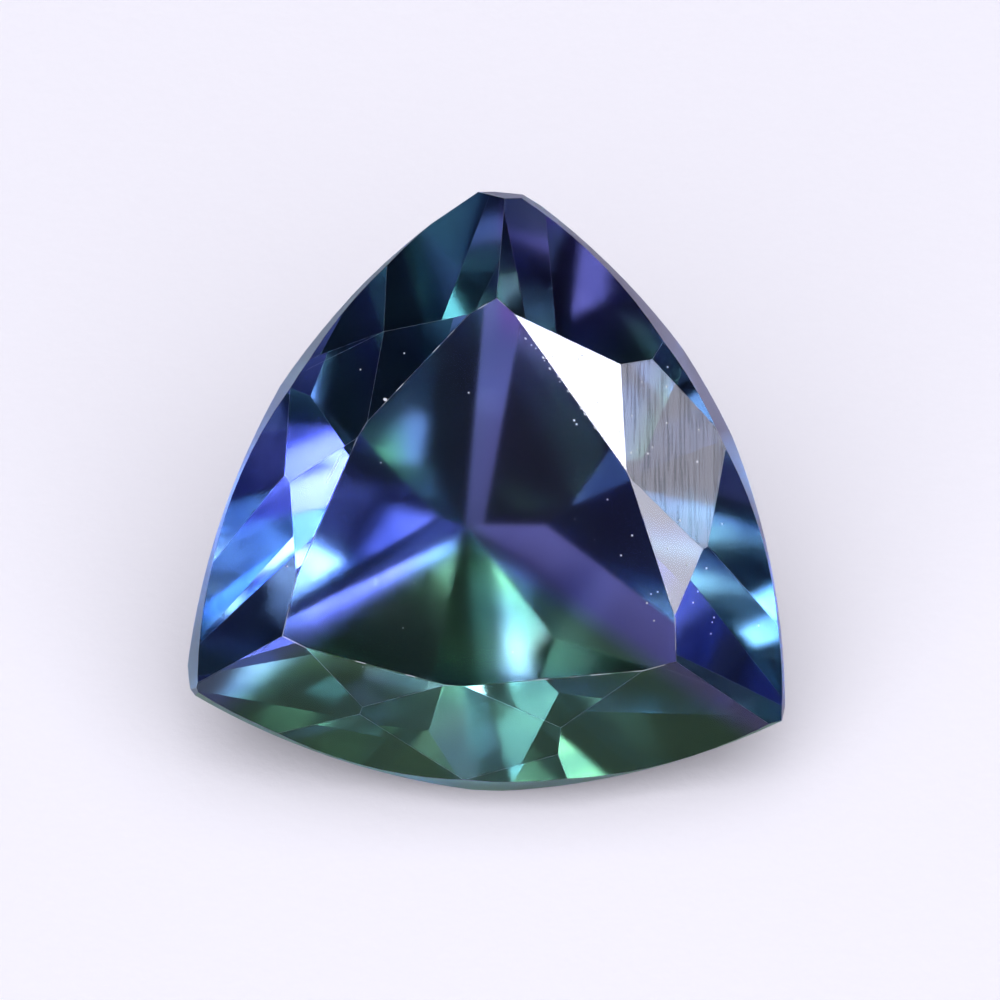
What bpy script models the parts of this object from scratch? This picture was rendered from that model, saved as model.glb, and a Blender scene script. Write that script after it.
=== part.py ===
"""A loose trillion cut tanzanite: one crystal, a curved triangle in plan, lying on one of its pavilion facets.

The stone is made the way a cutter makes it. A block is ground to the outline of the girdle, and then
each flat facet is lapped on with one straight cut. A cut is given as on a cutting diagram: its tilt away
from the girdle plane, the compass direction that it faces, and how far it lies from the stone's centre.
The cuts are worked out in millimetres with the table facing +Z, and the finished stone is then scaled to
metres and turned on to the facet that it rests on.
"""

import math

import bmesh
import bpy
from mathutils import Matrix, Vector

MM = 0.001

# The block that the stone is cut from.
BLOCK_WIDTH = 12.0
BLOCK_HEIGHT = 9.0

# Outline of the girdle. Each side is an arc: the direction that its middle faces, the distance of that
# middle from the stone's centre, and the arc's radius. The arc's own centre lies on the same line.
OUTLINE_SIDES = {
    "right": {"faces": 27.7, "distance": 3.02, "radius": 7.12},
    "left": {"faces": 150.8, "distance": 2.94, "radius": 7.30},
    "bottom": {"faces": 266.0, "distance": 2.99, "radius": 7.12},
}
FLATS_PER_SIDE = 28
SIDE_SPREAD = 60.0

# The three points of the outline are blunted, as a cutter leaves them, so that they don't chip:
# the direction that each blunt end faces, and its distance from the centre.
BLUNT_CORNERS = {
    "top": (84.0, 3.97),
    "lower left": (208.0, 3.95),
    "lower right": (325.0, 4.17),
}

# The girdle wall leans in towards the crown. Its widest line is its lower edge.
GIRDLE_LEAN = 13.0
GIRDLE_LOWER_EDGE = -0.28

TABLE_HEIGHT = 0.95

# Crown facets: tilt, direction, distance. A side has two corner facets, two stars, a kite and two girdle
# facets. The cutter didn't repeat them exactly from side to side.
CROWN_FACETS = {
    "right corner, upper": (41.0, 48.5, 2.095),
    "right corner, lower": (39.5, 1.5, 2.105),
    "right star, upper": (26.5, 35.5, 1.62),
    "right star, lower": (27.5, 18.0, 1.66),
    "right kite": (35.0, 25.5, 1.79),
    "right girdle, upper": (44.0, 30.5, 2.12),
    "right girdle, lower": (47.0, 12.0, 2.23),
    "left corner, upper": (40.5, 120.5, 2.20),
    "left corner, lower": (41.5, 166.5, 2.055),
    "left star, upper": (26.0, 136.5, 1.68),
    "left star, lower": (30.0, 156.5, 1.73),
    "left kite": (36.5, 148.5, 1.865),
    "left girdle, upper": (47.0, 135.5, 2.27),
    "left girdle, lower": (50.0, 159.5, 2.24),
    "bottom corner, left": (38.5, 243.5, 2.085),
    "bottom corner, right": (41.5, 285.5, 2.07),
    "bottom star, left": (27.5, 255.0, 1.70),
    "bottom star, right": (30.5, 275.0, 1.72),
    "bottom kite": (39.5, 266.5, 1.89),
    "bottom girdle, left": (49.5, 257.5, 2.23),
    "bottom girdle, right": (43.5, 269.0, 2.035),
}

# Pavilion facets: tilt, direction, and how far each stands off the culet, the lowest point of the cut.
# A side has one main facet, with flanks and breaks beside it and two narrow facets under the girdle.
CULET = (-0.15, -0.04, -2.97)
RESTING_FACET = "bottom main"
PAVILION_FACETS = {
    "bottom main": (39.5, 270.0, -0.06),
    "left main": (46.5, 160.0, 0.11),
    "right main": (41.5, 28.5, 0.21),
    "top corner": (35.0, 86.5, 0.0),
    "lower left corner": (34.5, 208.0, 0.04),
    "lower right corner": (33.5, 318.0, -0.07),
    "right upper flank": (38.5, 50.5, 0.03),
    "left upper flank": (43.5, 127.5, 0.05),
    "left lower flank": (40.0, 173.5, 0.03),
    "bottom left flank": (40.5, 239.0, -0.01),
    "right break": (42.5, 7.0, 0.24),
    "bottom break": (45.0, 290.0, 0.27),
    "right under girdle, upper": (44.0, 41.5, 0.51),
    "right under girdle, lower": (46.5, 16.0, 0.58),
    "left under girdle, upper": (48.0, 135.0, 0.29),
    "left under girdle, lower": (50.5, 160.0, 0.46),
    "bottom under girdle, left": (47.0, 246.0, 0.27),
    "bottom under girdle, right": (47.0, 281.5, 0.46),
}

# Corners that the cuts leave closer together than this are one point.
SAME_POINT = 0.0005


def compass(direction):
    """The unit vector in the girdle plane that faces a direction, in degrees from +X."""
    angle = math.radians(direction)
    return Vector((math.cos(angle), math.sin(angle), 0.0))


def lap(stone, point, normal):
    """Grinds the stone flat down to a plane, and closes the cut with one facet."""
    everything = stone.verts[:] + stone.edges[:] + stone.faces[:]
    cut = bmesh.ops.bisect_plane(
        stone, geom=everything, dist=1e-6, plane_co=point, plane_no=normal, clear_outer=True
    )
    rim = [item for item in cut["geom_cut"] if isinstance(item, bmesh.types.BMEdge)]
    if rim:
        bmesh.ops.contextual_create(stone, geom=rim)


def make_block():
    """The rough block, centred on the stone's centre."""
    stone = bmesh.new()
    bmesh.ops.create_cube(stone, size=1.0)
    bmesh.ops.scale(stone, vec=(BLOCK_WIDTH, BLOCK_WIDTH, BLOCK_HEIGHT), verts=stone.verts)
    return stone


def grind_outline(stone):
    """Grinds the three curved sides as runs of narrow flats, and then blunts the three points."""
    lean = math.radians(GIRDLE_LEAN)
    up = Vector((0.0, 0.0, math.sin(lean)))
    lower_edge = Vector((0.0, 0.0, GIRDLE_LOWER_EDGE))
    for side in OUTLINE_SIDES.values():
        arc_centre = compass(side["faces"]) * (side["distance"] - side["radius"])
        for number in range(FLATS_PER_SIDE):
            share = (number + 0.5) / FLATS_PER_SIDE - 0.5
            outward = compass(side["faces"] + share * SIDE_SPREAD)
            point = arc_centre + outward * side["radius"] + lower_edge
            lap(stone, point, outward * math.cos(lean) + up)
    for direction, distance in BLUNT_CORNERS.values():
        outward = compass(direction)
        lap(stone, outward * distance + lower_edge, outward * math.cos(lean) + up)


def cut_crown(stone):
    """Cuts the crown facets and the table."""
    for tilt, direction, distance in CROWN_FACETS.values():
        angle = math.radians(tilt)
        normal = compass(direction) * math.sin(angle) + Vector((0.0, 0.0, math.cos(angle)))
        lap(stone, normal * distance, normal)
    lap(stone, Vector((0.0, 0.0, TABLE_HEIGHT)), Vector((0.0, 0.0, 1.0)))


def pavilion_normal(tilt, direction):
    """The outward normal of a pavilion facet, which faces down."""
    angle = math.radians(tilt)
    return compass(direction) * math.sin(angle) - Vector((0.0, 0.0, math.cos(angle)))


def cut_pavilion(stone):
    """Cuts the pavilion facets around the culet."""
    for tilt, direction, stand_off in PAVILION_FACETS.values():
        normal = pavilion_normal(tilt, direction)
        lap(stone, Vector(CULET) + normal * stand_off, normal)


def lay_down(stone):
    """Turns the stone on to its resting facet, and centres it over the origin with its lowest point at Z = 0."""
    tilt, direction, _ = PAVILION_FACETS[RESTING_FACET]
    resting = pavilion_normal(tilt, direction)
    turn = resting.rotation_difference(Vector((0.0, 0.0, -1.0))).to_matrix().to_4x4()
    bmesh.ops.transform(stone, matrix=turn, verts=stone.verts)
    bmesh.ops.scale(stone, vec=(MM, MM, MM), verts=stone.verts)
    low = Vector(min(vert.co[axis] for vert in stone.verts) for axis in range(3))
    high = Vector(max(vert.co[axis] for vert in stone.verts) for axis in range(3))
    middle = (low + high) / 2
    bmesh.ops.transform(
        stone, matrix=Matrix.Translation((-middle.x, -middle.y, -low.z)), verts=stone.verts
    )


def tanzanite_material():
    """Polished violet blue zoisite."""
    material = bpy.data.materials.new("tanzanite")
    material.use_nodes = True
    shader = material.node_tree.nodes["Principled BSDF"]
    shader.inputs["Base Color"].default_value = (0.10, 0.12, 0.42, 1.0)
    shader.inputs["Roughness"].default_value = 0.02
    shader.inputs["Metallic"].default_value = 0.0
    return material


def main():
    for old in list(bpy.data.objects):
        bpy.data.objects.remove(old, do_unlink=True)

    stone = make_block()
    grind_outline(stone)
    cut_crown(stone)
    cut_pavilion(stone)
    bmesh.ops.remove_doubles(stone, verts=stone.verts, dist=SAME_POINT)
    bmesh.ops.recalc_face_normals(stone, faces=stone.faces)
    lay_down(stone)

    mesh = bpy.data.meshes.new("stone")
    stone.to_mesh(mesh)
    stone.free()
    mesh.materials.append(tanzanite_material())
    gem = bpy.data.objects.new("stone", mesh)
    collection = bpy.data.collections.new("trillion_cut_tanzanite")
    bpy.context.scene.collection.children.link(collection)
    collection.objects.link(gem)


main()
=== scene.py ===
# %% [markdown]
# # A trillion cut tanzanite on white paper
#
# This lesson dresses one loose gemstone. A trillion is a curved triangle with a flat table on top, a
# ring of small sloping facets around it (the crown), a thin rough rim (the girdle) and a deep pointed
# underside (the pavilion). Nearly all that the eye sees inside it is light bounced by the pavilion, so
# the shape has to be right before any colour is. The stone lies on one pavilion facet, which tips its
# table forwards, and the camera looks straight down on the table.

import math
import random

import bpy
from mathutils import Matrix, Vector


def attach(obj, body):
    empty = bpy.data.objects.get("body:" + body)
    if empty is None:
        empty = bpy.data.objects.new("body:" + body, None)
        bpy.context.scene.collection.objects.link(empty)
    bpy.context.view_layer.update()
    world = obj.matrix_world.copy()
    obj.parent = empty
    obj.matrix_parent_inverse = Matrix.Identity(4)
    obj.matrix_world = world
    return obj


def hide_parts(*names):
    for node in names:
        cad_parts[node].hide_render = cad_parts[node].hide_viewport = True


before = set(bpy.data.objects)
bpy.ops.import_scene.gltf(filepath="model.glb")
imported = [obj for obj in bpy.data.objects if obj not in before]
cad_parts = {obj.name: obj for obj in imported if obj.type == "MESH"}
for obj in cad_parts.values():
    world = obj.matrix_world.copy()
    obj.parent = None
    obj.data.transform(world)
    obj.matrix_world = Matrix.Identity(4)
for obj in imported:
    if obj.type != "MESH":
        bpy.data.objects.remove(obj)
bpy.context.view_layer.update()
MM = 0.001


# %% [markdown]
# ## Helpers for selecting by code
#
# By hand you would click in the viewport. In a script it is safest to clear the selection first, and then
# to make one object both selected and active, because that is the object most tools work on.


# %% Selection helpers
def only(obj):
    """Makes obj the one selected and active object."""
    bpy.ops.object.select_all(action="DESELECT")
    obj.select_set(True)
    bpy.context.view_layer.objects.active = obj


def edit(obj):
    """Opens obj in edit mode, with its vertices as the things to select."""
    only(obj)
    bpy.ops.object.mode_set(mode="EDIT")
    bpy.ops.mesh.select_mode(type="VERT")


def leave():
    """Goes back to object mode."""
    bpy.ops.object.mode_set(mode="OBJECT")


# %% [markdown]
# ## From triangles back to facets
#
# The cut stone comes as a bag of triangles. We work on a copy: weld its points, then let Limited Dissolve
# join the triangles that lie in one plane. What is left is the real facets, each one polygon, which is
# what the edge wear and the facet finishes below need. Points closer than a thousandth of a millimetre
# count as one, and so do planes that differ by less than 0.6 degrees.

# %% Copy the stone and join its triangles into facets
SAME_POINT = 0.000001
SAME_PLANE = 0.6

cut_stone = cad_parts["stone"]
stone = cut_stone.copy()
stone.data = cut_stone.data.copy()
stone.name = "tanzanite"
stone.data.name = "tanzanite"
stone.parent = None
stone.data.materials.clear()
bpy.context.scene.collection.objects.link(stone)

edit(stone)
bpy.ops.mesh.select_all(action="SELECT")
bpy.ops.mesh.remove_doubles(threshold=SAME_POINT)
bpy.ops.mesh.dissolve_limited(angle_limit=math.radians(SAME_PLANE))
leave()
print("facets:", len(stone.data.polygons))

# %% [markdown]
# ## Which facet is which
#
# The table is the largest facet of the upper side. Its normal gives the direction that the cutter called
# up. With it we can describe every facet as a cutter does: how far it is tilted from the table, and
# which way it faces in plan, in degrees from across, going round to the left.

# %% Find the table and the stone's own axes
FACES_UP = 0.5

upper = [face for face in stone.data.polygons if face.normal.z > FACES_UP]
table = max(upper, key=lambda face: face.area)
table_up = table.normal.copy()
table_middle = table.center.copy()
across = Vector((1.0, 0.0, 0.0))
towards_top = table_up.cross(across).normalized()
print("the table leans by", round(math.degrees(math.acos(table_up.z)), 1), "degrees")


# %% [markdown]
# ## Tilt and direction
#
# A cutting diagram gives each facet a tilt and a compass direction. Dot products with the stone's three
# axes turn any normal into both, so no facet has to be picked by hand.


# %% Describe a facet as a cutter does
def plan_of(vector):
    """A vector in the stone's own axes: across, towards the top point, and up from the table."""
    return Vector((vector.dot(across), vector.dot(towards_top), vector.dot(table_up)))


def tilt_of(normal):
    """How far a facet leans from the table's plane, in degrees. Below the girdle it is over 90."""
    return math.degrees(math.acos(max(-1.0, min(1.0, plan_of(normal).z))))


def direction_of(normal):
    """The compass direction of a normal in plan, in degrees from across."""
    flat = plan_of(normal)
    return math.degrees(math.atan2(flat.y, flat.x)) % 360.0


# %% [markdown]
# ## The outline and the table's sides
#
# The colours, the dust and the camera are all placed from the ends of the outline, so those are measured
# here. The table's sides are kept too, because the next step rounds them away.

# %% Measure the plan and keep the table's sides
corners_in_plan = [plan_of(vert.co) for vert in stone.data.vertices]
left_end = min(corner.x for corner in corners_in_plan)
right_end = max(corner.x for corner in corners_in_plan)
low_end = min(corner.y for corner in corners_in_plan)
high_end = max(corner.y for corner in corners_in_plan)
print("plan, millimetres:", round((right_end - left_end) / MM, 3), round((high_end - low_end) / MM, 3))

table_corners = [stone.data.vertices[index].co.copy() for index in table.vertices]
table_sides = list(zip(table_corners, table_corners[1:] + table_corners[:1]))
print("the table has", len(table_sides), "sides")

# %% [markdown]
# ## Worn edges
#
# No real facet edge is perfectly sharp. Polishing and handling round it by one or two hundredths of a
# millimetre, and that sliver is what draws the thin bright lines between the facets. Bevel does the same
# in one step. It comes before the finishes are marked, because it makes new faces. The stone is then
# shaded flat: smooth shading would average the normals, and a facet would bend what it mirrors.

# %% Round the facet edges
EDGE_WEAR = 0.018 * MM
WEAR_SEGMENTS = 2
SHARPER_THAN = 4.0

bevel = stone.modifiers.new("edge wear", "BEVEL")
bevel.width = EDGE_WEAR
bevel.segments = WEAR_SEGMENTS
bevel.limit_method = "ANGLE"
bevel.angle_limit = math.radians(SHARPER_THAN)
only(stone)
bpy.ops.object.modifier_apply(modifier="edge wear")
bpy.ops.object.shade_flat()
print("faces with worn edges:", len(stone.data.polygons))

# %% [markdown]
# ## Colour by direction
#
# Tanzanite is pleochroic: along one axis of the crystal it is violet, along another blue, and this one
# keeps some green along the third. A renderer has one colour for the whole body, so the body gets the
# average, and each pavilion facet tints the light that it turns back by the direction it faces. The three
# shallow corner facets let light out instead of turning it back, so they show the pale paper beneath,
# through the violet axis.

# %% Name the colours of the crystal's axes
GREEN = (0.68, 1.00, 0.72)
TEAL = (0.70, 0.90, 0.96)
BLUE = (0.62, 0.76, 1.00)
NAVY = (0.66, 0.62, 1.00)
VIOLET = (0.84, 0.64, 1.00)
PALE = (0.82, 0.84, 1.00)
LAVENDER = (0.56, 0.57, 1.00)
CLEAR = (1.00, 1.00, 1.00)

# %% [markdown]
# ## A ring of tints for the pavilion
#
# The tints stand round the stone like the hours on a clock, each at its direction in degrees. A facet that
# faces between two of them gets a blend, so neighbours differ a little, as they do in a real crystal.

# %% Tint the pavilion by direction
TINTS_ROUND_THE_STONE = [
    (0.0, BLUE),
    (28.0, NAVY),
    (52.0, VIOLET),
    (84.0, PALE),
    (127.0, PALE),
    (160.0, NAVY),
    (190.0, BLUE),
    (225.0, TEAL),
    (240.0, GREEN),
    (282.0, GREEN),
    (300.0, TEAL),
    (330.0, BLUE),
    (360.0, BLUE),
]


def pavilion_tint(direction):
    """The tint of a pavilion facet that faces a direction, blended between its neighbours."""
    for (start, first), (end, second) in zip(TINTS_ROUND_THE_STONE, TINTS_ROUND_THE_STONE[1:]):
        if start <= direction <= end:
            share = (direction - start) / (end - start)
            return tuple(a + (b - a) * share for a, b in zip(first, second))


# %% [markdown]
# ## Three tints for the girdle
#
# The girdle is ground and not polished, so it scatters light and looks paler than the body. It is bluish
# on the left, green below and lavender on the right.

# %% Tint the girdle by side
GIRDLE_TINTS = {"left": (0.78, 0.90, 1.00), "low": (0.74, 1.00, 0.80), "right": (0.88, 0.84, 1.00)}
LEFT_SIDE_STARTS = 95.0
LOW_SIDE_STARTS = 215.0
RIGHT_SIDE_STARTS = 325.0


def girdle_tint(direction):
    """The tint of a girdle face that faces a direction."""
    if LEFT_SIDE_STARTS < direction <= LOW_SIDE_STARTS:
        return GIRDLE_TINTS["left"]
    if LOW_SIDE_STARTS < direction < RIGHT_SIDE_STARTS:
        return GIRDLE_TINTS["low"]
    return GIRDLE_TINTS["right"]


# %% [markdown]
# ## Mark the facets
#
# A mesh attribute is a number or colour stored on the mesh that a material can read. Here each face gets
# its tint, and marks that say what it is: ground girdle, pavilion, table, the brushed kite with the
# polishing lines, one of the narrow strips of edge wear, or plain. Plain are the crown facets of the
# right side. They mirror the largest lamps, so they keep a nearly white tint. A strip is known by its
# width, and the other kinds by limits in degrees.

# %% Tell the kinds of face apart
WIDEST_STRIP = 0.030 * MM
TABLE_ENDS = 1.0
CROWN_STARTS = 3.0
CROWN_ENDS = 66.0
GIRDLE_ENDS = 115.0
PLAIN_STARTS = 335.0
PLAIN_ENDS = 38.0
BRUSHED_KITE = {"tilt": 35.0, "direction": 25.5}
KITE_TILT_WITHIN = 1.0
KITE_DIRECTION_WITHIN = 2.0


def narrow(face):
    """Whether a face is one of the strips that the edge wear made."""
    sides = [stone.data.vertices[index].co for index in face.vertices]
    reach = max((a - b).length for a in sides for b in sides)
    return face.area < reach * WIDEST_STRIP


def marks_of(face):
    """The marks of a face, each true or false."""
    tilt = tilt_of(face.normal)
    direction = direction_of(face.normal)
    worn = narrow(face)
    tilted_like_kite = abs(tilt - BRUSHED_KITE["tilt"]) < KITE_TILT_WITHIN
    faces_like_kite = abs(direction - BRUSHED_KITE["direction"]) < KITE_DIRECTION_WITHIN
    on_right_side = direction > PLAIN_STARTS or direction < PLAIN_ENDS
    return {
        "ground": CROWN_ENDS < tilt < GIRDLE_ENDS and not worn,
        "pavilion": tilt >= GIRDLE_ENDS and not worn,
        "table": tilt < TABLE_ENDS,
        "brushed": tilted_like_kite and faces_like_kite and not worn,
        "worn": worn,
        "plain": CROWN_STARTS < tilt < CROWN_ENDS and on_right_side,
    }


# %% [markdown]
# ## A tint for every kind
#
# One function chooses, so that the loop after it stays short. A pavilion facet with less tilt than any
# main facet is one of the three corner facets, which get the lavender of the paper beneath.

# %% Choose the tint of a face
SHALLOWEST_MAIN = 36.3
PLAIN_TINT = (0.84, 0.84, 1.00)


def tint_of(face, marked):
    """The tint of a face, from its marks and from the direction that it faces."""
    direction = direction_of(face.normal)
    if marked["pavilion"]:
        tilt_from_below = 180.0 - tilt_of(face.normal)
        return LAVENDER if tilt_from_below < SHALLOWEST_MAIN else pavilion_tint(direction)
    if marked["ground"]:
        return girdle_tint(direction)
    return PLAIN_TINT if marked["plain"] else CLEAR


# %% [markdown]
# ## Write the marks
#
# Adding an attribute can move the earlier ones in memory. So all of them are made first, and looked up
# only then.

# %% Write the tint and the marks
MARKS = ("ground", "pavilion", "table", "brushed", "worn", "plain")

stone.data.color_attributes.new("tint", "FLOAT_COLOR", "CORNER")
for name in MARKS:
    stone.data.attributes.new(name, "FLOAT", "CORNER")
tint = stone.data.color_attributes["tint"]
marks = {name: stone.data.attributes[name] for name in MARKS}
counts = dict.fromkeys(MARKS, 0)
for face in stone.data.polygons:
    marked = marks_of(face)
    colour = tint_of(face, marked)
    for corner in face.loop_indices:
        tint.data[corner].color = (*colour, 1.0)
        for name in MARKS:
            marks[name].data[corner].value = float(marked[name])
    for name in MARKS:
        counts[name] += marked[name]
print("faces marked:", counts)


# %% [markdown]
# ## Helpers for materials
#
# A material is a graph of nodes joined by links. These helpers add to the nodes and links of whichever
# material was started last, so each material below first puts its own in those two names.


# %% Node helpers
def start_material(name):
    """A new material that uses nodes, its nodes and its links."""
    material = bpy.data.materials.new(name)
    material.use_nodes = True
    return material, material.node_tree.nodes, material.node_tree.links


def node(kind, place, **settings):
    """Adds a node at a place in the editor and sets its inputs by name."""
    made = nodes.new(kind)
    made.location = place
    for name, value in settings.items():
        made.inputs[name.replace("_", " ")].default_value = value
    return made


def object_place(place):
    """Where the shaded point lies in the object's own axes, in metres."""
    return node("ShaderNodeTexCoord", place).outputs["Object"]


def noise(vector, place, **settings):
    """A noise texture, read at a vector."""
    made = node("ShaderNodeTexNoise", place, **settings)
    links.new(vector, made.inputs["Vector"])
    return made.outputs["Fac"]


def attribute(name, place):
    """The output of an attribute of the mesh: its colour for the tint, and its number for a mark."""
    read = node("ShaderNodeAttribute", place)
    read.attribute_name = name
    return read.outputs["Color" if name == "tint" else "Fac"]


def reckon(operation, first, second, place):
    """A Math node. Each input is an output of another node or a plain number."""
    made = node("ShaderNodeMath", place)
    made.operation = operation
    for socket, value in zip(made.inputs, (first, second)):
        if isinstance(value, (int, float)):
            socket.default_value = value
        else:
            links.new(value, socket)
    return made.outputs[0]


# %% [markdown]
# ## The crystal
#
# The crystal is clear, so a glass shader does for it. Its look comes from an index of refraction of 1.69,
# from an absorption that eats red and lets blue and green through, and from a tint and a roughness that
# change from facet to facet. The next cells work those two out.

# %% Crystal material
REFRACTION_INDEX = 1.69
ABSORPTION_DENSITY = 130.0
ABSORPTION_COLOUR = (0.25, 0.48, 0.58, 1.0)

crystal, nodes, links = start_material("tanzanite crystal")
nodes.clear()
output = node("ShaderNodeOutputMaterial", (1300, 0))
glass = node("ShaderNodeBsdfGlass", (1100, 100), IOR=REFRACTION_INDEX)
body = node("ShaderNodeVolumeAbsorption", (1100, -400), Density=ABSORPTION_DENSITY, Color=ABSORPTION_COLOUR)
links.new(glass.outputs[0], output.inputs["Surface"])
links.new(body.outputs[0], output.inputs["Volume"])
where = object_place((-1300, -200))

# %% [markdown]
# ## Colour by zone
#
# Seen through the table, the lower third of this stone is green, the rest is blue on the left and navy on
# the right, and the right side of the top point is violet. The table and most of the crown take that tint
# from where a point lies in plan. A dot product with an axis gives a point's place along it, and a smooth
# Map Range turns it into a soft mask. A Mix node has a pair of inputs for every kind of value: numbers 6
# and 7 are the two colours, and output 2 is their mix.

# %% Helpers for zones
MIX_COLOURS = (6, 7)
MIX_RESULT = 2


def place_along(axis, place):
    """How far the shaded point lies along an axis, in millimetres."""
    dot = node("ShaderNodeVectorMath", place)
    dot.operation = "DOT_PRODUCT"
    links.new(where, dot.inputs[0])
    dot.inputs[1].default_value = axis / MM
    return dot.outputs["Value"]


def soft_mask(value, span, place):
    """Runs smoothly from 0 at the start of a span to 1 at its end."""
    made = node("ShaderNodeMapRange", place, From_Min=span[0], From_Max=span[1])
    made.interpolation_type = "SMOOTHSTEP"
    links.new(value, made.inputs["Value"])
    return made.outputs["Result"]


def blend(share, first, second, place, kind="MIX"):
    """Mixes or multiplies two colours, each an output or three numbers."""
    made = node("ShaderNodeMix", place)
    made.data_type = "RGBA"
    made.blend_type = kind
    links.new(share, made.inputs["Factor"])
    for number, colour in zip(MIX_COLOURS, (first, second)):
        if isinstance(colour, tuple):
            made.inputs[number].default_value = (*colour, 1.0)
        else:
            links.new(colour, made.inputs[number])
    return made.outputs[MIX_RESULT]


# %% [markdown]
# ## The centre of the colours
#
# The colours meet near the stone's lowest point, which isn't quite in the middle of the outline. The
# centre is given as millimetres from the outline's left and low ends.

# %% Measure from the centre
CENTRE_FROM_LEFT_END = 3.29
CENTRE_FROM_LOW_END = 3.05

centre_across = left_end / MM + CENTRE_FROM_LEFT_END
centre_up = low_end / MM + CENTRE_FROM_LOW_END
from_centre_across = reckon("SUBTRACT", place_along(across, (-1100, 900)), centre_across, (-900, 900))
from_centre_up = reckon("SUBTRACT", place_along(towards_top, (-1100, 700)), centre_up, (-900, 700))

# %% [markdown]
# ## Where each zone lies
#
# The spans are millimetres from the centre. The green zone's upper edge falls away to both sides, so its
# mask is measured from that sloping line. The rim at the very bottom is a darker green.

# %% Colour zones
GREEN_EDGE_SLOPE = 0.70
GREEN_EDGE = (-0.15, 0.30)
LOW_RIM_EDGE = (-1.50, -1.80)
RIGHT_HALF_EDGE = (-0.5, 0.5)
TOP_POINT_EDGE = (2.0, 2.6)
VIOLET_SIDE_EDGE = (0.25, 0.45)
GREEN_ZONE = (0.46, 0.86, 0.34)
LOW_RIM = (0.31, 0.57, 0.31)
VIOLET_ZONE = (0.78, 0.46, 1.00)

sideways = reckon("ABSOLUTE", from_centre_across, 0.0, (-700, 900))
edge = reckon("MULTIPLY", sideways, -GREEN_EDGE_SLOPE, (-500, 900))
below_edge = reckon("SUBTRACT", edge, from_centre_up, (-300, 900))
green_share = soft_mask(below_edge, GREEN_EDGE, (-100, 900))
low_share = soft_mask(from_centre_up, LOW_RIM_EDGE, (-100, 1100))
right_share = soft_mask(from_centre_across, RIGHT_HALF_EDGE, (-100, 700))
top_share = soft_mask(from_centre_up, TOP_POINT_EDGE, (-100, 500))
violet_side = soft_mask(from_centre_across, VIOLET_SIDE_EDGE, (-100, 300))
violet_share = reckon("MULTIPLY", top_share, violet_side, (100, 500))

green = blend(low_share, GREEN_ZONE, LOW_RIM, (300, 1000))
zone = blend(right_share, BLUE, NAVY, (300, 700))
zone = blend(green_share, zone, green, (500, 700))
zone = blend(violet_share, zone, VIOLET_ZONE, (700, 700))

# %% [markdown]
# ## Cloud the pavilion and choose between tint and zone
#
# A coarse noise dims the pavilion's tint in patches, so that a large facet isn't one flat colour. The
# girdle, the pavilion, the plain facets and the worn strips show their own tint. All other faces show the
# zone. The sum of the marks is 1 or more where any of them is 1, and Mix takes no share above 1, so the
# sum is the switch between the two.

# %% Tint or zone
CLOUD_TINT = (0.58, 0.63, 0.76)
CLOUD_SPAN = (0.30, 0.62)

own_tint = attribute("pavilion", (100, 200))
for step, mark in enumerate(("plain", "ground", "worn")):
    own_tint = reckon("ADD", own_tint, attribute(mark, (150 * step + 100, 50)), (150 * step + 300, 250))
cloud = noise(where, (-100, 100), Scale=900.0, Detail=1.0, Distortion=0.3)
clouded = blend(soft_mask(cloud, CLOUD_SPAN, (100, 100)), CLOUD_TINT, CLEAR, (300, -50))
layers = blend(attribute("pavilion", (300, 0)), attribute("tint", (300, 150)), clouded, (500, 0), "MULTIPLY")
links.new(blend(own_tint, zone, layers, (900, 500)), glass.inputs["Color"])

# %% [markdown]
# ## Polishing lines on the kite
#
# The lap, the polishing wheel, has left fine lines on one kite facet. They are too fine to model, so they
# are a change of roughness: a noise texture stretched along the direction in which the lap ran.

# %% Polishing lines
LAP_TURN = 20.0
LAP_STRETCH = (1.0, 0.04, 0.04)
LINE_SPAN = (0.40, 0.62)
LINE_ROUGHNESS = 0.12

along_the_lap = node("ShaderNodeMapping", (-1100, -200), Scale=LAP_STRETCH)
along_the_lap.inputs["Rotation"].default_value = (0.0, 0.0, math.radians(LAP_TURN))
links.new(where, along_the_lap.inputs["Vector"])
lines = noise(along_the_lap.outputs["Vector"], (-900, -200), Scale=38000.0, Detail=2.0)
line_share = soft_mask(lines, LINE_SPAN, (-700, -200))
streaks = reckon("MULTIPLY", line_share, attribute("brushed", (-700, -450)), (-500, -300))

# %% [markdown]
# ## Roughness by mark
#
# Each mark brings its own roughness, and the parts are added up. The girdle is left as the grinding wheel
# leaves it, and the worn strips scatter light most. The low values of the table and the pavilion blur the
# inside of the stone a little, as the photograph's short focus does.

# %% Roughness
ROUGHNESS = {"ground": 0.35, "pavilion": 0.10, "table": 0.15, "worn": 0.50}

rough = reckon("MULTIPLY", streaks, LINE_ROUGHNESS, (-300, -300))
for row, (mark, roughness) in enumerate(ROUGHNESS.items()):
    part = reckon("MULTIPLY", attribute(mark, (-300, -150 * row - 500)), roughness, (-100, -150 * row - 500))
    rough = reckon("ADD", rough, part, (150 * row + 100, -400))
links.new(rough, glass.inputs["Roughness"])
stone.data.materials.append(crystal)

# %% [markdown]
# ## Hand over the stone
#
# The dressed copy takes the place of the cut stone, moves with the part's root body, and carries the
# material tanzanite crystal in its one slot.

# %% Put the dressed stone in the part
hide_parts("stone")
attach(stone, "root")
print("dressed stone:", len(stone.data.vertices), "vertices")

# %% [markdown]
# ## Dust, a nick and a scratch
#
# The stone isn't clean. Specks of dust lie on it, mostly on its right side, the table's edges have tiny
# chips and one nick, and a short scratch runs beside the table's left edge. All are far smaller than a
# millimetre, so small pale solids laid on the facets do the job. A ray cast down the table's axis finds
# the facet under each. Their places and sizes are millimetres in plan, measured from the centre.

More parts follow.
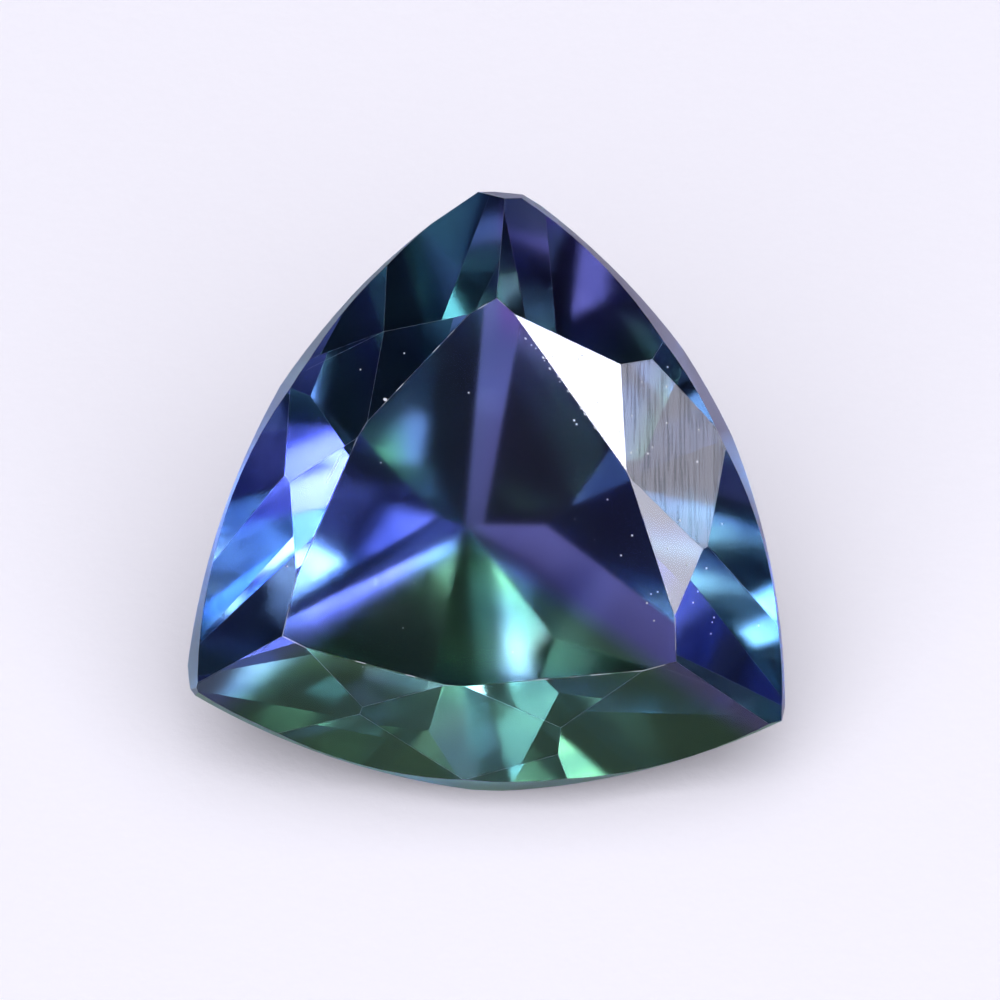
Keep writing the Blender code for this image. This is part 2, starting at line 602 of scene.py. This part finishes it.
# %% Helpers for specks and rods
RAY_STARTS_ABOVE = 1.0
SPECK_FLATNESS = 0.5
ROD_SIDES = 6
grains = []


def on_facet(x, y):
    """The point of the surface at x, y, and its normal, or None twice beside the stone."""
    start = (
        across * ((centre_across + x) * MM)
        + towards_top * ((centre_up + y) * MM)
        + table_up * (table_middle.dot(table_up) + RAY_STARTS_ABOVE * MM)
    )
    hit, spot, normal, _ = stone.ray_cast(start, -table_up)
    return (spot, normal) if hit else (None, None)


def speck(x, y, radius, stretch=1.0, turn=0.0):
    """Adds one flattened grain on the facet at x, y. The turn is in radians."""
    spot, normal = on_facet(x, y)
    if spot is None:
        return
    bpy.ops.mesh.primitive_ico_sphere_add(subdivisions=1, radius=radius * MM, location=spot)
    grain = bpy.context.object
    grain.scale = (stretch, 1.0, SPECK_FLATNESS)
    upright = normal.to_track_quat("Z", "Y").to_matrix()
    grain.rotation_euler = (upright @ Matrix.Rotation(turn, 3, "Z")).to_euler()
    grains.append(grain)


def thin_rod(start, end, radius):
    """Lays a thin rod from one point to another."""
    run = end - start
    turn = run.to_track_quat("Z", "Y").to_euler()
    bpy.ops.mesh.primitive_cylinder_add(
        vertices=ROD_SIDES, radius=radius * MM, depth=run.length, location=(start + end) / 2, rotation=turn
    )
    grains.append(bpy.context.object)


# %% [markdown]
# ## What stands out
#
# The nick on the table's left edge, four specks and the scratch are the marks that the eye finds first,
# so they are put where the photograph has them.

# %% The marks that stand out
NICK = {"x": -0.98, "y": 1.51, "radius": 0.022, "stretch": 1.5, "turn": 0.1}
LARGER_SPECKS = [(-2.12, -0.43, 0.012), (-0.76, 2.05, 0.012), (-1.27, 1.86, 0.011), (-0.01, 1.59, 0.012)]
SCRATCH = {"start": (-1.48, 0.90), "end": (-1.66, 0.55), "radius": 0.003}

speck(**NICK)
for x, y, radius in LARGER_SPECKS:
    speck(x, y, radius)
thin_rod(on_facet(*SCRATCH["start"])[0], on_facet(*SCRATCH["end"])[0], SCRATCH["radius"])
print("marks that stand out:", len(grains))

# %% [markdown]
# ## Dust by chance
#
# The rest is scattered by random numbers. A seed makes them the same in every run. Most specks lie in a
# band down the right side, a few finer ones lie on the table, and the chips follow its upper right edge.

# %% Dust and chips
DUST_SEED = 7
DUST_COUNT = 40
DUST_BAND_MIDDLE = (1.9, 0.6)
DUST_BAND_RUN = (-0.75, 1.9)
DUST_BAND_SPREAD = (-0.5, 1.0)
DUST_RADIUS = (0.009, 0.015)
FINE_COUNT = 12
FINE_ACROSS = (-1.4, 1.6)
FINE_UP = (-1.6, 1.2)
FINE_RADIUS = (0.004, 0.008)
CHIP_COUNT = 16
CHIPPED_FROM = (0.62, 2.28)
CHIPPED_RUN = (0.95, -1.22)
CHIP_OFF_LINE = (-0.02, 0.03)
CHIP_RADIUS = (0.005, 0.014)
CHIP_STRETCH = (1.0, 2.0)
CHIP_TURN = (-1.2, -0.6)

random.seed(DUST_SEED)
for _ in range(DUST_COUNT):
    along = random.uniform(-1.0, 1.0)
    x = DUST_BAND_MIDDLE[0] + DUST_BAND_RUN[0] * along + random.uniform(*DUST_BAND_SPREAD)
    y = DUST_BAND_MIDDLE[1] + DUST_BAND_RUN[1] * along
    speck(x, y, random.uniform(*DUST_RADIUS))
for _ in range(FINE_COUNT):
    speck(random.uniform(*FINE_ACROSS), random.uniform(*FINE_UP), random.uniform(*FINE_RADIUS))
for number in range(CHIP_COUNT):
    share = (number + random.random()) / CHIP_COUNT
    x = CHIPPED_FROM[0] + CHIPPED_RUN[0] * share
    y = CHIPPED_FROM[1] + CHIPPED_RUN[1] * share + random.uniform(*CHIP_OFF_LINE)
    speck(x, y, random.uniform(*CHIP_RADIUS), random.uniform(*CHIP_STRETCH), random.uniform(*CHIP_TURN))
print("with dust and chips:", len(grains))

# %% [markdown]
# ## The table's bright edge
#
# The table's edge catches light along nearly all its length, because it is chipped too finely to see.
# Short thin rods, sunk a little below the table and with some left out at random, stand for that.

# %% Chipped table edges
PIECE_LENGTH = 0.12 * MM
PIECE_RADIUS = (0.0025, 0.0055)
PIECES_LEFT_OUT = 0.12
PIECES_SUNK = 0.004

for start, end in table_sides:
    run = end - start
    pieces = max(1, round(run.length / PIECE_LENGTH))
    for number in range(pieces):
        if random.random() < PIECES_LEFT_OUT:
            continue
        first_end = start + run * (number / pieces) - table_up * PIECES_SUNK * MM
        thin_rod(first_end, first_end + run / pieces, random.uniform(*PIECE_RADIUS))
print("with chipped edges:", len(grains))

# %% [markdown]
# ## One piece of dust
#
# Join makes all the grains one object. Applying its transforms puts its origin at the part's own origin.

# %% Join the grains
only(grains[0])
for grain in grains:
    grain.select_set(True)
bpy.ops.object.join()
dust = bpy.context.object
dust.name = "dust"
bpy.ops.object.transform_apply(location=True, rotation=True, scale=True)
print("faces of dust:", len(dust.data.polygons))

# %% [markdown]
# ## Pale and matt
#
# Dust, chips and scratches all look pale, because they scatter light. A fine noise gives each grain a
# slightly different grey.

# %% Dust material
DUST_ROUGHNESS = 0.8
DARKER_DUST = (0.55, 0.56, 0.66, 1.0)
LIGHTER_DUST = (0.85, 0.86, 0.95, 1.0)

grey, nodes, links = start_material("pale dust")
shading = nodes["Principled BSDF"]
shading.inputs["Roughness"].default_value = DUST_ROUGHNESS
tone = node("ShaderNodeValToRGB", (-400, 0))
tone.color_ramp.elements[0].color = DARKER_DUST
tone.color_ramp.elements[1].color = LIGHTER_DUST
links.new(noise(object_place((-900, 0)), (-700, 0), Scale=60000.0), tone.inputs["Fac"])
links.new(tone.outputs["Color"], shading.inputs["Base Color"])
dust.data.materials.append(grey)
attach(dust, "root")

# %% [markdown]
# ## The paper
#
# The stone lies on plain white paper, far larger than the view, so that its edges never show in the
# facets. The paper is about a hundredth of a millimetre lower than the stone: a facet that touched it
# would show it, while a facet with air behind it is a mirror. A slight glow stands for light from all
# round the room, and a little tooth keeps the paper from looking like a computer's white.

# %% Paper
PAPER_WIDTH = 0.6
AIR_GAP = 0.012 * MM
PAPER_LOOK = {
    "Roughness": 0.9,
    "Base Color": (0.80, 0.778, 0.877, 1.0),
    "Emission Color": (0.912, 0.886, 1.0, 1.0),
    "Emission Strength": 0.16,
}
TOOTH_HEIGHT = 0.04 * MM
TOOTH_STRENGTH = 0.25

bpy.ops.mesh.primitive_plane_add(size=PAPER_WIDTH, location=(0.0, 0.0, -AIR_GAP))
paper = bpy.context.object
paper.name = "paper"
white, nodes, links = start_material("white paper")
surface = nodes["Principled BSDF"]
for name, value in PAPER_LOOK.items():
    surface.inputs[name].default_value = value
relief = node("ShaderNodeBump", (-300, -200), Strength=TOOTH_STRENGTH, Distance=TOOTH_HEIGHT)
tooth = noise(object_place((-800, -200)), (-600, -200), Scale=5500.0, Detail=4.0)
links.new(tooth, relief.inputs["Height"])
links.new(relief.outputs["Normal"], surface.inputs["Normal"])
paper.data.materials.append(white)

# %% [markdown]
# ## Light
#
# A gem is a set of small mirrors, so each lamp shows as a flash wherever two or three facets happen to
# line it up with the eye. One large soft lamp to the right does most of the work: a crown facet that
# shows as plain white is a mirror, so that lamp lies where the facet's reflection points. Small lamps
# round the stone make small sharp flashes with dark between them. An area lamp's power is spread over its
# area, so the helper multiplies the two, and a glow means the same for a small lamp and a large one.

# %% A helper for lamps
LAMP_DISTANCE = 0.20
AIM_HEIGHT = 0.002
WATTS_FOR_GLOW = 4.0


def soft_lamp(name, direction, height, width, tall, glow):
    """A soft lamp that faces the stone. Its place and its size are angles as the stone sees them."""
    lamp = bpy.data.lights.new(name, "AREA")
    lamp.shape = "RECTANGLE"
    lamp.size = 2 * LAMP_DISTANCE * math.tan(math.radians(width / 2))
    lamp.size_y = 2 * LAMP_DISTANCE * math.tan(math.radians(tall / 2))
    lamp.energy = glow * WATTS_FOR_GLOW * lamp.size * lamp.size_y
    thing = bpy.data.objects.new(name, lamp)
    bpy.context.scene.collection.objects.link(thing)
    place = Vector(
        (
            math.cos(math.radians(direction)) * math.cos(math.radians(height)),
            math.sin(math.radians(direction)) * math.cos(math.radians(height)),
            math.sin(math.radians(height)),
        )
    )
    thing.location = place * LAMP_DISTANCE + Vector((0.0, 0.0, AIM_HEIGHT))
    thing.rotation_euler = place.to_track_quat("Z", "Y").to_euler()
    return thing


# %% [markdown]
# ## The lamps round the stone
#
# Each row is a name, then a compass direction, a height, a width and a width upwards, all in degrees,
# and last a glow. None of these lamps lights a matt surface, so that they can be moved for the sake of
# the flashes without changing the paper.

# %% Lamps for the stone
STONE_LAMPS = [
    ("main softbox", -3.0, 52.0, 13.0, 13.0, 19.0),
    ("lower softbox", -15.0, 38.0, 12.0, 12.0, 6.5),
    ("kite lamp", 10.0, 27.0, 10.0, 10.0, 3.6),
    ("filler", 1.0, 41.5, 6.0, 6.0, 8.0),
    ("front right", 305.0, 66.0, 6.0, 6.0, 42.0),
    ("front", 291.0, 55.0, 5.0, 5.0, 30.0),
    ("low front right", 316.0, 43.0, 5.0, 5.0, 5.0),
    ("overhead front", 283.0, 78.0, 6.0, 6.0, 32.0),
    ("overhead back", 128.0, 78.0, 6.0, 6.0, 36.0),
    ("high left", 194.0, 66.0, 6.0, 6.0, 34.0),
    ("mint lamp", 330.0, 55.0, 6.0, 7.0, 36.0),
    ("left", 201.0, 54.0, 5.0, 5.0, 16.0),
    ("back", 90.0, 50.0, 14.0, 6.0, 7.0),
    ("back left", 146.0, 57.0, 7.0, 8.0, 34.0),
    ("violet lamp", 295.0, 42.0, 5.0, 5.0, 3.0),
    ("low front", 298.0, 30.0, 5.0, 5.0, 2.0),
    ("low front left", 244.0, 18.0, 6.0, 6.0, 1.0),
    ("front left", 229.0, 42.0, 5.0, 5.0, 1.5),
    ("high front left", 240.0, 72.0, 4.0, 4.0, 5.0),
]

for row in STONE_LAMPS:
    soft_lamp(*row).visible_diffuse = False
print("lamps for the stone:", len(STONE_LAMPS))

# %% [markdown]
# ## Light for the paper, and the room
#
# The paper and the dust have one very large soft lamp of their own, which the facets don't mirror. The
# room is dim and bluish, and it shows in the facets that face no lamp.

# %% Light for the paper, and the dim room
PAPER_LIGHT = ("paper light", 270.0, 72.0, 100.0, 100.0, 1.22)
ROOM_COLOUR = (0.62, 0.72, 1.0, 1.0)
ROOM_STRENGTH = 0.03

paper_light = soft_lamp(*PAPER_LIGHT)
paper_light.visible_glossy = False
paper_light.visible_transmission = False

world = bpy.data.worlds.new("dim room")
world.use_nodes = True
background = world.node_tree.nodes["Background"]
background.inputs["Color"].default_value = ROOM_COLOUR
background.inputs["Strength"].default_value = ROOM_STRENGTH
bpy.context.scene.world = world

# %% [markdown]
# ## Camera
#
# The photograph looks straight down on the table with a long lens. A lens this long keeps the outline
# from swelling, and the camera needs no shift: it is aimed a little beside the middle of the plan, where
# the photograph's own middle is.

# %% Camera
VIEW_WIDTH = 11.63 * MM
CAMERA_DISTANCE = 400.0 * MM
SENSOR = 36.0
NEAREST_SEEN = 1.0 * MM
PICTURE_MIDDLE_ACROSS = 0.160 * MM
PICTURE_MIDDLE_UP = -0.102 * MM

lens = bpy.data.cameras.new("long lens")
lens.sensor_width = SENSOR
lens.lens = SENSOR * CAMERA_DISTANCE / VIEW_WIDTH
lens.clip_start = NEAREST_SEEN
camera = bpy.data.objects.new("camera", lens)
bpy.context.scene.collection.objects.link(camera)
aim = (
    across * ((left_end + right_end) / 2 + PICTURE_MIDDLE_ACROSS)
    + towards_top * ((low_end + high_end) / 2 + PICTURE_MIDDLE_UP)
    + table_up * table_up.dot(table_middle)
)
camera.location = aim + table_up * CAMERA_DISTANCE
camera.rotation_euler = table_up.to_track_quat("Z", "Y").to_euler()
bpy.context.scene.camera = camera
print("camera height above the paper, millimetres:", round(camera.location.z / MM, 1))

# %% [markdown]
# ## How the picture is traced
#
# Light bounces many times inside a gem before it comes out, so the path limits are set with that in mind.
# Sparkles that the stone would throw on the paper are left out, because the photograph shows none.

# %% Tracing
MOST_BOUNCES = 12

scene = bpy.context.scene
scene.view_settings.view_transform = "Standard"
scene.cycles.max_bounces = MOST_BOUNCES
scene.cycles.transmission_bounces = MOST_BOUNCES
scene.cycles.glossy_bounces = MOST_BOUNCES
scene.cycles.caustics_reflective = False
scene.cycles.caustics_refractive = False
